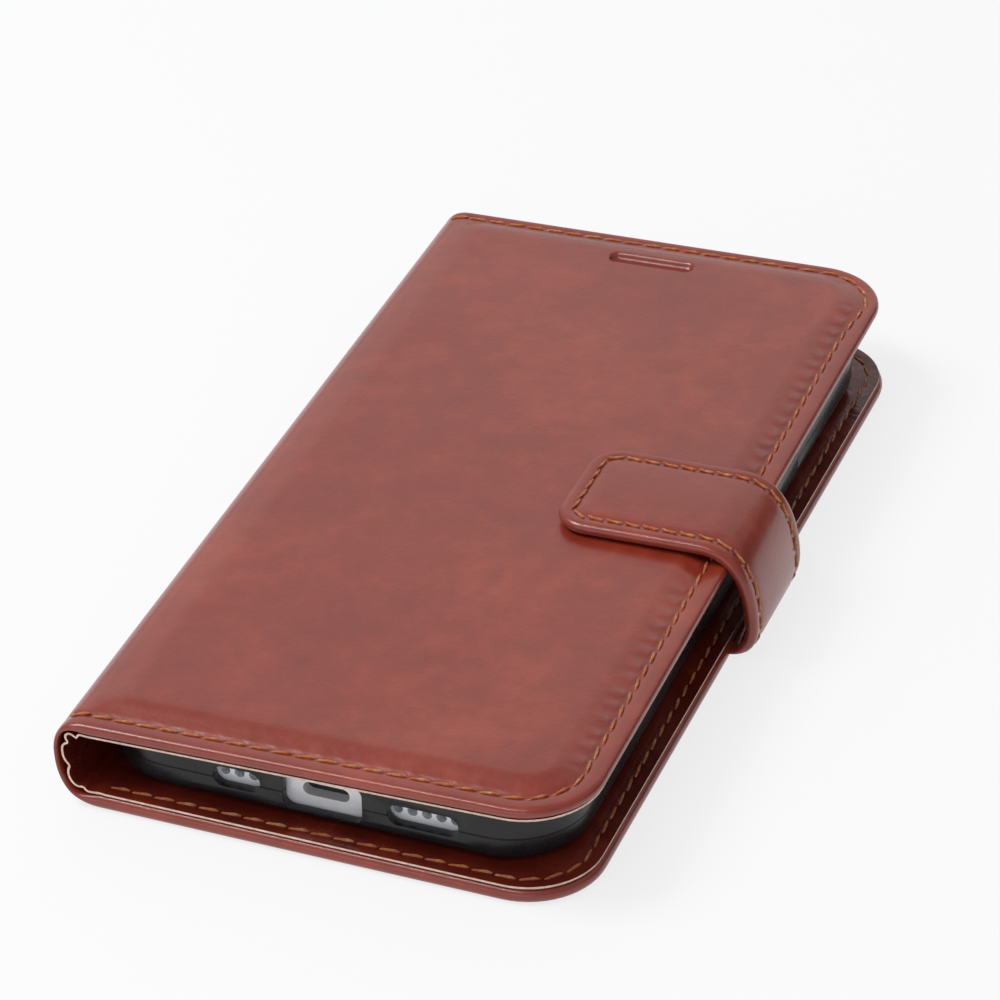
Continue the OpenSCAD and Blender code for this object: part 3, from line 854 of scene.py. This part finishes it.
stitching = {
    "pitch": 3.55,
    "hole": 0.1,
    "width": 0.46,
    "slant": math.radians(7),
    "wander": 0.08,         # how unevenly it slants
    "twist": 5.5,
}


def oneStitch(length, width):
    # a twisted loop of thread that dips at both ends, along X at the origin
    deselectAll()
    bpy.ops.mesh.primitive_uv_sphere_add(segments=8, ring_count=8, radius=0.5, rotation=(0, math.pi / 2, 0))
    stitch = bpy.context.object
    bpy.ops.object.transform_apply(location=False, rotation=True, scale=True)
    for v in stitch.data.vertices:
        turn = stitching["twist"] * v.co.x
        c, s = math.cos(turn), math.sin(turn)
        y, z = v.co.y * 1.15, v.co.z * 0.85
        fromMiddle = (2 * abs(v.co.x)) ** 4
        full = 0        # the loop is blunter than a ball at its ends
        if abs(v.co.x) < 0.49:
            full = (1 - fromMiddle) ** 0.5 / max(0.2, (1 - 4 * v.co.x ** 2) ** 0.5)
        y, z = (y * c - z * s) * full, (y * s + z * c) * full
        v.co = Vector((v.co.x * length, y * width, z * width - 0.5 * width * fromMiddle)) * mm
    bpy.ops.object.shade_smooth()
    stitch.data.materials.append(finish["thread"])
    return stitch


def roundTheEdge(sheet, inset, start):
    # length of the stitch line, and a function from distance along it to flat X and Y
    straight = sheet["end"] - sheet["radius"] - start
    side = 2 * (sheet["half"] - sheet["radius"])
    r = sheet["radius"] - inset
    arc = math.pi / 2 * r
    total = 2 * straight + 2 * arc + side

    def at(s):
        cx, cy = sheet["end"] - sheet["radius"], sheet["half"] - sheet["radius"]
        middle = sheet["middle"]
        mirror = -1 if s < total / 2 else 1
        t = s if s < total / 2 else total - s
        if t < straight:
            return start + t, middle + mirror * (cy + r)
        if t < straight + arc:
            angle = (t - straight) / r
            return cx + r * math.sin(angle), middle + mirror * (cy + r * math.cos(angle))
        return cx + r, middle + mirror * (cy - (t - straight - arc))

    return total, at


def sewLine(name, node, line, surface, body, pitch=stitching["pitch"]):
    # copies of one stitch laid along the line; surface turns flat X and Y into a place
    total, at = line
    source = oneStitch(pitch - stitching["hole"], stitching["width"])
    count = int(total / pitch)
    made = []
    for i in range(count):
        s = (i + 0.5) * total / count
        x, y = at(s)
        x2, y2 = at(min(s + 0.3, total))
        x1, y1 = at(max(s - 0.3, 0))
        here = surface(x, y)
        along = (surface(x2, y2) - surface(x1, y1)).normalized()
        across = Vector((y1 - y2, x2 - x1)).normalized()
        sideways = (surface(x + across.x * 0.2, y + across.y * 0.2) - here).normalized()
        up = along.cross(sideways).normalized()
        turn = stitching["slant"] + stitching["wander"] * noise.noise(Vector((x, y, 7)))
        along = along * math.cos(turn) + sideways * math.sin(turn)
        sideways = up.cross(along)
        stitch = source.copy()
        stitch.data = source.data.copy()
        rows = [(along[k], sideways[k], up[k], here[k]) for k in range(3)]
        stitch.data.transform(Matrix([*rows, (0, 0, 0, 1)]))
        bpy.context.collection.objects.link(stitch)
        made.append(stitch)
    bpy.data.objects.remove(source)
    deselectAll()
    for stitch in made:
        stitch.select_set(True)
    bpy.context.view_layer.objects.active = made[0]
    bpy.ops.object.join()
    seam = bpy.context.object
    seam.name = name
    seam.data.name = name
    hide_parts(node)
    if body in hinges:
        bendAt(seam)
    else:
        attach(seam, body)


def frontSurface(x, y):
    distance, outX, outY = edgeDistance(x, y, {**coverOutline, "end": front["end"]})
    pull = farPull(y)
    x += outX * pull
    distance -= pull
    y += outY * pull
    rise = frontHeight(x, y, distance) + stitching["width"] * 0.36
    return foldPoint(x, y, rise, frontFold, frontDrift)


def backOutside(x, y):
    return foldPoint(x, y, -0.36, backFold)


def backInside(x, y):
    rise = -backThickness(x) - lining["gap"] - lining["thickness"] + 0.2 - stitching["width"] * 0.3
    return foldPoint(x, y, rise, backFold)


frontLine = roundTheEdge({**coverOutline, "end": front["end"]}, front["stitchInset"], frontFold["total"] - 3.4)
backLine = roundTheEdge({**coverOutline, "end": back["end"]}, back["stitchInset"], backFold["total"] + 0.5)
sewLine("frontStitches", "front_stitching", frontLine, frontSurface, "front")
sewLine("backInnerStitches", "back_stitching", backLine, backInside, "back")
sewLine("backOuterStitches", "back_stitching", backLine, backOutside, "back")
print("stitching made")

strap = {
    "middle": -0.7,
    "width": 23,
    "tipRadius": 5.6,
    "tipStart": 53.3,       # reach of the tip, measured along the front cover
    "rim": {"turn": 1.6, "wrap": 3.3, "radius": 1.05},
    "rootReach": 73,        # X where the hidden tab ends
    "thickness": 2.0,
    "tabThickness": 0.9,
    "rings": [1.4, 1.9, 2.25, 2.6, 2.95, 3.4, 4.1, 5.0],
    "stitchInset": 2.6,
    "stitchDip": 0.22,
    "pitch": 2.9,
    "crown": 0.28,
    "liningInset": 1.0,
    "liningThickness": 0.3,
}


def strapHeight(x, y, inset):
    dip = strap["stitchDip"] * math.exp(-((inset - strap["stitchInset"]) / 0.5) ** 2)
    crown = strap["crown"] * smooth(strap["stitchInset"], 7, inset)
    return crown - dip + 0.06 * noise.noise(Vector((x / 7, y / 7, 1.7))) * smooth(1, 4, inset)


def rootThickness(x):
    tucked = smooth(rootFold["total"] - 5, rootFold["total"] - 0.5, x)
    return strap["thickness"] + (strap["tabThickness"] - strap["thickness"]) * tucked


def strapOutline(end, radius, grow):
    return {"end": end + grow, "half": strap["width"] / 2 + grow, "radius": radius + grow,
            "middle": strap["middle"], "arcs": 10}


def tipThickness(x):
    return strap["thickness"]


def strapLeather(name, end, fold, thickness, hinge, *nodes):
    sheet = strapOutline(end, strap["tipRadius"], rimGrowth(strap["rim"]))
    piece = flatSheet(name, sheet, rimRings(strap["rim"], strap["rings"]), steps(0.5, end - 7, 34), [])
    foldSheet(piece, sheet, fold, thickness, strapHeight, strap["rim"])
    outerSheet(piece, "leather", hinge, *nodes)


def strapLining(name, end, radius, fold, thickness, node):
    sheet = strapOutline(end, radius, -strap["liningInset"])
    piece = flatSheet(name, sheet, [0.3], steps(0.5, end - 7, 34), [])
    foldSheet(piece, sheet, fold, lambda x: 0, lambda x, y, i: 0.12 - thickness(x))
    dress(piece, "lining")
    thicken(piece, strap["liningThickness"])
    smoothPiece(piece, 50)
    bendAt(piece)
    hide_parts(node)


tipEnd = alongTip(strap["tipStart"])
strapLeather("strapTipLeather", tipEnd, tipFold, tipThickness, "tip", "strap_tip_skin")
strapLining("strapTipLining", tipEnd, strap["tipRadius"], tipFold, tipThickness, "strap_tip_lining")
strapLeather("strapSideLeather", alongRoot(strap["rootReach"]), rootFold, rootThickness, "root",
             "strap_side_skin", "strap_root_tab")
strapLining("strapSideLining", rootFold["total"] - 1.5, 0.5, rootFold, rootThickness,
            "strap_side_lining")


def strapSurface(fold):
    def surface(x, y):
        return foldPoint(x, y, stitching["width"] * 0.38 - strap["stitchDip"], fold)
    return surface


tipLine = roundTheEdge(strapOutline(tipEnd, strap["tipRadius"], 0), strap["stitchInset"], 0)
sewLine("strapTipStitches", "strap_tip_stitching", tipLine, strapSurface(tipFold), "tip", strap["pitch"])
sideReach = rootFold["total"] - 3.5


def sideLine(s):
    edge = strap["width"] / 2 - strap["stitchInset"]
    return (s, strap["middle"] - edge) if s < sideReach else (s - sideReach, strap["middle"] + edge)


sewLine("strapSideStitches", "strap_side_stitching", (2 * sideReach, sideLine), strapSurface(rootFold),
        "root", strap["pitch"])
print("strap made")

# pockets inside the front cover
pockets = {
    "closedSide": 6,        # from the front cover's free edge
    "thickness": 0.45,
    "cashWidth": 66,
    "cashHalf": 71.75,
    "cardHalf": 45,
    "cardWidth": 34,
    "cardStep": 10,
    "thumbRadius": 8,
    "seamInset": 1.2,
}
pocketReach = pockets["cardWidth"] + 2 * pockets["cardStep"]        # width of the widest card pocket
pocketEnd = case["frontWidth"] - pockets["closedSide"]


def tiltToFront(piece):
    # a piece drawn flat, with the front cover's underside at Z = 0, goes to its place
    place = Vector((-originX, 0, case["frontBase"])) * mm
    piece.data.transform(Matrix.Translation(place) @ Matrix.Rotation(-case["tilt"], 4, "Y"))


def pocketSheet(name, node, width, half, level):
    # level 1 lies on the lining, and each next one on the one before
    t = pockets["thickness"]
    size = (width, 2 * half)
    piece = roundedBlock(name, (pocketEnd - width / 2, 0, -level * t + 0.02), size, 1.5, t - 0.04, 5)
    deselectAll()
    bpy.ops.mesh.primitive_cylinder_add(vertices=40, radius=pockets["thumbRadius"] * mm, depth=0.02,
                                        location=((pocketEnd - width) * mm, 0, 0))
    cutAway(piece, bpy.context.object)
    modifier = piece.modifiers.new("softEdge", "BEVEL")
    modifier.width = 0.17 * mm
    modifier.segments = 2
    applyModifiers(piece)
    tiltToFront(piece)
    dress(piece, "lining")
    smoothPiece(piece)
    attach(piece, "front_cover")
    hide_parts(node)


pocketSheet("cashPocket", "cash_pocket", pockets["cashWidth"], pockets["cashHalf"], 1)
for i in (1, 2, 3):
    width = pockets["cardWidth"] + (3 - i) * pockets["cardStep"]
    pocketSheet(f"cardPocket{i}", f"card_pocket_{i}", width, pockets["cardHalf"], i + 1)


def pocketSeam(s):
    # along both ends of the card pockets
    side = -1 if s < pocketReach else 1
    return pocketEnd - pocketReach + s % pocketReach, side * (pockets["cardHalf"] - pockets["seamInset"])


def pocketSurface(x, y):
    into = x - (pocketEnd - pocketReach)
    level = 2 + min(2, int(into / pockets["cardStep"]))
    place = onFrontPlane(x, -level * pockets["thickness"] - 0.02)
    return Vector(((place.x - originX) * mm, y * mm, place.y * mm))


sewLine("pocketStitches", "pocket_stitching", (2 * pocketReach, pocketSeam), pocketSurface, "front_cover")
print("pockets made")

tray = {
    "middle": 41.1,
    "width": 74.9,
    "length": 150.1,
    "foot": 2.95,
    "top": 12,
    "floor": 3.95,
    "radius": 12.2,
    "wall": 1.6,
    "footRound": 2.3,
    "lipRound": 0.45,
    "edgeRound": 0.22,
    "buttonLevel": 7.775,
    "openings": {           # along is the middle's place on the wall
        "port": {"side": "near", "along": 41.1, "length": 12.6, "height": 6.4, "radius": 1.5},
        "microphone": {"side": "near", "along": 27.5, "length": 7.6, "height": 3.6},
        "speaker": {"side": "near", "along": 56.9, "length": 11.2, "height": 3.6},
        "power": {"side": "right", "along": 25.85, "length": 18, "height": 4.2},
        "volumeUp": {"side": "left", "along": 35.35, "length": 11, "height": 4.2},
        "volumeDown": {"side": "left", "along": 21.85, "length": 11, "height": 4.2},
        "mute": {"side": "left", "along": 47.35, "length": 8, "height": 4.2},
    },
}


def roundEdgesAt(block, level, width, segments):
    # bevels the edges of a block's outline at a height
    pickOnly(block)
    bpy.ops.object.mode_set(mode="EDIT")
    bpy.ops.mesh.select_mode(type="EDGE")
    bpy.ops.mesh.select_all(action="DESELECT")
    bpy.ops.object.mode_set(mode="OBJECT")
    vertices = block.data.vertices
    for e in block.data.edges:
        a, b = (vertices[i].co for i in e.vertices)
        e.select = abs(a.z - level * mm) < 1e-6 and abs(b.z - level * mm) < 1e-6
    bpy.ops.object.mode_set(mode="EDIT")
    bpy.ops.mesh.bevel(offset=width * mm, segments=segments, profile=0.5, affect="EDGES")
    bpy.ops.object.mode_set(mode="OBJECT")


def wallCutter(side, along, length, height, depth=6, radius=None):
    # pill-shaped block that goes through one wall; side is "near", "left" or "right"
    level = tray["buttonLevel"]
    radius = height / 2 - 0.01 if radius is None else radius
    block = roundedBlock("cutter", (0, 0, -depth / 2), (length, height), radius, depth, 8)
    if side == "near":
        turn = Matrix.Rotation(math.radians(90), 4, "X")
        place = Vector((along - originX, -tray["length"] / 2, level))
    else:
        sign = 1 if side == "right" else -1
        turn = Matrix.Rotation(math.radians(90), 4, "Z") @ Matrix.Rotation(math.radians(90), 4, "X")
        place = Vector((tray["middle"] + sign * tray["width"] / 2 - originX, along, level))
    block.data.transform(Matrix.Translation(place * mm) @ turn)
    return block


def rubberTray():
    block = roundedBlock("rubberTray", (tray["middle"] - originX, 0, tray["foot"]),
                         (tray["width"], tray["length"]), tray["radius"], tray["top"] - tray["foot"], 14)
    roundEdgesAt(block, tray["foot"], tray["footRound"], 6)
    roundEdgesAt(block, tray["top"], tray["lipRound"], 3)
    hollow = roundedBlock("hollow", (tray["middle"] - originX, 0, tray["floor"]),
                          (tray["width"] - 2 * tray["wall"], tray["length"] - 2 * tray["wall"]),
                          tray["radius"] - tray["wall"], 12, 14)
    cutAway(block, hollow)
    for opening in tray["openings"].values():
        cutAway(block, wallCutter(**opening))
    cutAway(block, windowCutter())
    modifier = block.modifiers.new("softEdge", "BEVEL")
    modifier.width = tray["edgeRound"] * mm
    modifier.segments = 2
    modifier.limit_method = "ANGLE"
    modifier.angle_limit = math.radians(50)
    applyModifiers(block)
    dress(block, "rubber")
    smoothPiece(block, 45)
    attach(block, "back_cover")
    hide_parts("phone_shell")


button = {
    "play": 0.6,            # how much shorter it is than its opening
    "height": 3.6,
    "radius": 1.78,
    "depth": 1.45,
    "edgeRound": 0.4,
    "seat": 1.05,           # its foot lies this far inside the tray's outer face
}


def sideButton(name, node, body, opening):
    # rounded pad in its opening
    sign = 1 if opening["side"] == "right" else -1
    size = (opening["length"] - button["play"], button["height"])
    pad = roundedBlock(name, (0, 0, 0), size, button["radius"], button["depth"], 8)
    roundEdgesAt(pad, button["depth"], button["edgeRound"], 4)
    turn = Matrix.Rotation(math.radians(90 * sign), 4, "Y") @ Matrix.Rotation(math.radians(90), 4, "Z")
    place = Vector((tray["middle"] + sign * (tray["width"] / 2 - button["seat"]) - originX,
                    opening["along"], tray["buttonLevel"]))
    pad.data.transform(Matrix.Translation(place * mm) @ turn)
    dress(pad, "rubber")
    smoothPiece(pad)
    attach(pad, body)
    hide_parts(node)


rubberTray()
sideButton("powerPad", "power_button", "power_key", tray["openings"]["power"])
sideButton("volumeUpPad", "volume_up_button", "volume_up_key", tray["openings"]["volumeUp"])
sideButton("volumeDownPad", "volume_down_button", "volume_down_key", tray["openings"]["volumeDown"])

for node, name in {"back_board": "board", "front_board": "board", "shell_adhesive": "glue",
                   "closure_plate": "steel", "strap_magnet": "magnet"}.items():
    dress(frame["nodes"][node], name)
print("tray made")

# a plain phone in the tray, for show: not part of the case
phone = {
    "length": 146.7,
    "width": 71.5,
    "thickness": 7.65,
    "radius": 10.5,
    "port": {"along": 41.1, "length": 7.4, "height": 2.3},
    "holes": [25.0, 27.3, 29.6] + steps(52.4, 63.75, 6),       # microphone and speaker
    "holeRadius": 0.8,
    "bezel": 0.7,
}


def plainMaterial(name, colour, roughness, metallic=0.0):
    m, tree, shader = newMaterial(name, Metallic=metallic)
    spots = noiseAt(tree, objectPlace(tree), 300, 4)
    low = tuple(c * 0.9 for c in colour)
    feed(shader, Base_Color=ramp(tree, spots, {"deep": low, "pale": colour}, 0.3, 0.7),
         Roughness=mapTo(tree, spots, 0.3, 0.7, roughness, roughness + 0.08, "LINEAR"))
    return m


def stageProp(piece, material):
    piece.data.materials.clear()
    piece.data.materials.append(material)
    smoothPiece(piece)


def showPhone():
    metal = plainMaterial("phoneMetal", (0.86, 0.88, 0.92), 0.2, 0.15)
    dark = plainMaterial("phoneDark", (0.02, 0.02, 0.022), 0.5)
    glass = plainMaterial("phoneGlass", (0.012, 0.012, 0.014), 0.05)
    body = roundedBlock("phoneBody", (tray["middle"] - originX, 0, tray["floor"] + 0.03),
                        (phone["width"], phone["length"]), phone["radius"], phone["thickness"] - 0.05, 14)
    roundEdgesAt(body, tray["floor"] + 0.03, 0.5, 3)
    roundEdgesAt(body, tray["floor"] + phone["thickness"] - 0.02, 0.4, 3)
    end = phone["length"] / 2
    across = 2 * phone["holeRadius"]
    cutters = [wallCutter("near", **phone["port"])]
    cutters += [wallCutter("near", x, across, across, 4) for x in phone["holes"]]
    for cutter in cutters:
        cutter.data.transform(Matrix.Translation((0, (tray["length"] / 2 - end) * mm, 0)))
        cutAway(body, cutter)
    stageProp(body, metal)
    inside = roundedBlock("phoneInside", (tray["middle"] - originX, -end + 2.4, tray["floor"] + 1),
                          (60, 1.2), 0.3, 5.5, 3)
    stageProp(inside, dark)
    front = roundedBlock("phoneGlass", (tray["middle"] - originX, 0, tray["floor"] + phone["thickness"] - 0.03),
                         (phone["width"] - 2 * phone["bezel"], phone["length"] - 2 * phone["bezel"]),
                         phone["radius"] - phone["bezel"], 0.06, 14)
    stageProp(front, glass)


showPhone()
print("phone made")

studio = {
    "floor": (0.93, 0.93, 0.94),
    "floorGlow": 0.8,
    "world": 0.4,
    "softboxes": {
        "key": {"power": 5.0, "place": (-0.62, -0.2, 0.85), "size": (0.4, 0.4)},
        "panel": {"power": 3.9, "place": (-0.45, 1.5, 0.85), "size": (2.4, 1.2), "aim": (0, 0, 0.05)},
        "strip": {"power": 3.0, "place": (-0.3, -0.3, 0.95), "size": (1.0, 0.03)},
        "front": {"power": 3.4, "place": (-0.2, -1.5, 0.35), "size": (2.0, 0.5)},
    },
    "cardPlace": (1.6, 1.2, 0.42),
    "cardSize": (2.2, 0.8, 1),
}


def floorAndWorld():
    deselectAll()
    bpy.ops.mesh.primitive_plane_add(size=6, location=(0, 0, -0.0001))
    floor = bpy.context.object
    floor.name = "floor"
    m, tree, shader = newMaterial("paleFloor", Roughness=0.6, Specular_IOR_Level=0.2)
    shader.inputs["Base Color"].default_value = (*studio["floor"], 1)
    rays = addNode(tree, "ShaderNodeLightPath")
    glow = addNode(tree, "ShaderNodeEmission", {"Color": (0.97, 0.97, 0.98, 1), "Strength": 1.0})
    seen = math2(tree, "MAXIMUM", rays.outputs["Is Camera Ray"], rays.outputs["Is Glossy Ray"])
    share = math2(tree, "MULTIPLY", seen, studio["floorGlow"])
    both = addNode(tree, "ShaderNodeMixShader", {0: share, 1: shader.outputs[0], 2: glow.outputs[0]})
    tree.links.new(both.outputs[0], tree.nodes["Material Output"].inputs["Surface"])
    floor.data.materials.append(m)
    world = bpy.data.worlds.new("studio")
    bpy.context.scene.world = world
    world.use_nodes = True
    tree = world.node_tree
    rays = addNode(tree, "ShaderNodeLightPath")
    strength = math2(tree, "MAXIMUM", rays.outputs["Is Camera Ray"], studio["world"])
    background = tree.nodes["Background"]
    background.inputs["Color"].default_value = (1, 1, 1, 1)
    tree.links.new(strength, background.inputs["Strength"])


def softbox(name, place, size, power, aim=(0, 0, 0)):
    light = bpy.data.lights.new(name, "AREA")
    light.shape = "RECTANGLE"
    light.size, light.size_y = size
    light.energy = power
    lamp = bpy.data.objects.new(name, light)
    bpy.context.collection.objects.link(lamp)
    lamp.location = place
    lamp.rotation_euler = (Vector(aim) - Vector(place)).to_track_quat("-Z", "Y").to_euler()


def darkCard():
    # a black card out of view, which the glossy leather mirrors at its bends
    deselectAll()
    x, y, z = studio["cardPlace"]
    bpy.ops.mesh.primitive_plane_add(size=1, location=(x, y, z))
    card = bpy.context.object
    card.name = "darkCard"
    card.scale = studio["cardSize"]
    card.rotation_euler = Vector((-x, -y, 0)).to_track_quat("Z", "Y").to_euler()
    card.visible_camera = False
    card.visible_diffuse = False
    card.visible_shadow = False
    stageProp(card, plainMaterial("cardBlack", (0.01, 0.01, 0.01), 0.8))


view = {
    "place": Vector((218.86, -568.78, 420.53)),
    "target": Vector((-10.18, 17.95, 0)),
    "roll": -0.015,
    "lens": 167.43,
}


def makeCamera():
    camera = bpy.data.cameras.new("camera")
    camera.lens = view["lens"]
    camera.sensor_width = 36
    camera.clip_start = 0.01
    holder = bpy.data.objects.new("camera", camera)
    bpy.context.collection.objects.link(holder)
    turn = (view["target"] - view["place"]).to_track_quat("-Z", "Y").to_matrix()
    turn = turn @ Matrix.Rotation(view["roll"], 3, "Z")
    holder.matrix_world = Matrix.Translation(view["place"] * mm) @ turn.to_4x4()
    bpy.context.scene.camera = holder


floorAndWorld()
for name, values in studio["softboxes"].items():
    softbox(name, **values)
darkCard()
makeCamera()
print("studio made")
